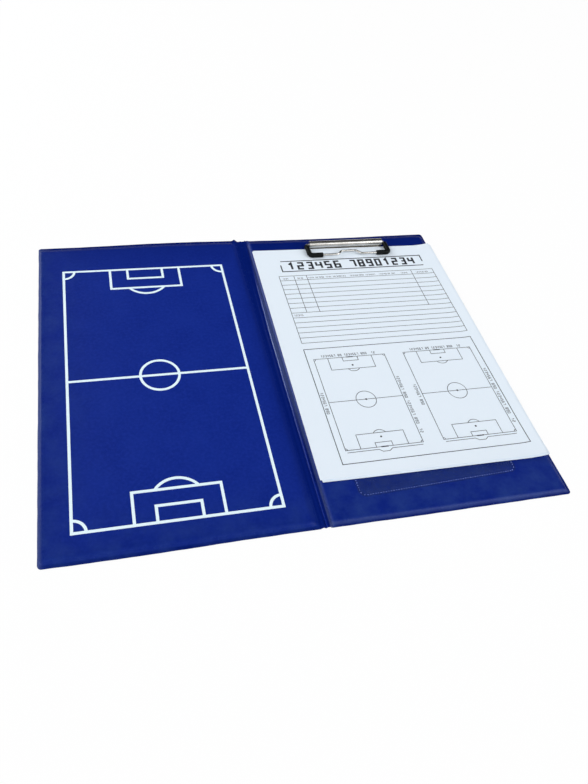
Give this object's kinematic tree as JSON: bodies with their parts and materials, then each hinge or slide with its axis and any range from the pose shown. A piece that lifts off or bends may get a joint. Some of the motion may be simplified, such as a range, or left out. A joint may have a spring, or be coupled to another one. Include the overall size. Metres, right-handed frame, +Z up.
{
  "type": "tactics board",
  "caption": "Fold-over coaching clipboard: vinyl-sealed panels on a soft creased spine, a pitch printed on the cover, and a sprung wire-bail clip holding paper sheets.",
  "frame": {"origin": "middle of the open folder, on the surface that it lies on", "axes": "+X across the open folder towards the clip panel, +Y along the spine towards the clip, +Z up from the table"},
  "size_m": [0.438, 0.36, 0.011],
  "materials": {
    "vinyl": "satin embossed vinyl",
    "board": "grey board",
    "ink": "white screen print",
    "clear_film": "clear film",
    "nickel": "bright nickel plate",
    "rivet_steel": "plain steel",
    "sleeve": "soft black sleeve",
    "paper": "copier paper"
  },
  "bodies": {
    "back_panel": {"right_outer_skin": "vinyl", "right_board": "board", "right_inner_skin": "vinyl", "card_pocket": "clear_film", "clip_plate": "nickel", "clip_rivets": "rivet_steel", "rivet_washers": "rivet_steel"},
    "spine": {"spine_outer_skin": "vinyl", "spine_inner_skin": "vinyl"},
    "cover": {"left_outer_skin": "vinyl", "left_board": "board", "left_inner_skin": "vinyl", "pitch_print": "ink"},
    "bail": {"bail_wire": "nickel", "left_grip_sleeve": "sleeve", "right_grip_sleeve": "sleeve"},
    "top_page": {"top_sheet": "paper"},
    "lower_page_1": {"lower_sheet_1": "paper"},
    "lower_page_2": {"lower_sheet_2": "paper"},
    "lower_page_3": {"lower_sheet_3": "paper"},
    "lower_page_4": {"lower_sheet_4": "paper"},
    "lower_page_5": {"lower_sheet_5": "paper"}
  },
  "joints": [
    {"name": "spine_fold", "type": "hinge", "parent": "back_panel", "child": "spine", "pos_m": [0.0022, 0, 0.00045], "axis": [0, -1, 0], "range_deg": [-90, 90]},
    {"name": "cover_fold", "type": "hinge", "parent": "spine", "child": "cover", "pos_m": [-0.0062, 0, 0.00045], "axis": [0, -1, 0], "range_deg": [-85.5, 90]},
    {"name": "bail_lift", "type": "hinge", "parent": "back_panel", "child": "bail", "pos_m": [0.116, 0.161, 0.007], "axis": [-1, 0, 0], "range_deg": [0, 100], "stiffness_Nm_per_rad": 0.05, "springref_deg": -45.84},
    {"name": "top_page_slide", "type": "slide", "parent": "back_panel", "child": "top_page", "axis": [0, -1, 0], "range_m": [0, 0.3]},
    {"name": "lower_page_1_slide", "type": "slide", "parent": "back_panel", "child": "lower_page_1", "axis": [0, -1, 0], "range_m": [0, 0.3]},
    {"name": "lower_page_2_slide", "type": "slide", "parent": "back_panel", "child": "lower_page_2", "axis": [0, -1, 0], "range_m": [0, 0.3]},
    {"name": "lower_page_3_slide", "type": "slide", "parent": "back_panel", "child": "lower_page_3", "axis": [0, -1, 0], "range_m": [0, 0.3]},
    {"name": "lower_page_4_slide", "type": "slide", "parent": "back_panel", "child": "lower_page_4", "axis": [0, -1, 0], "range_m": [0, 0.3]},
    {"name": "lower_page_5_slide", "type": "slide", "parent": "back_panel", "child": "lower_page_5", "axis": [0, -1, 0], "range_m": [0, 0.3]}
  ]
}
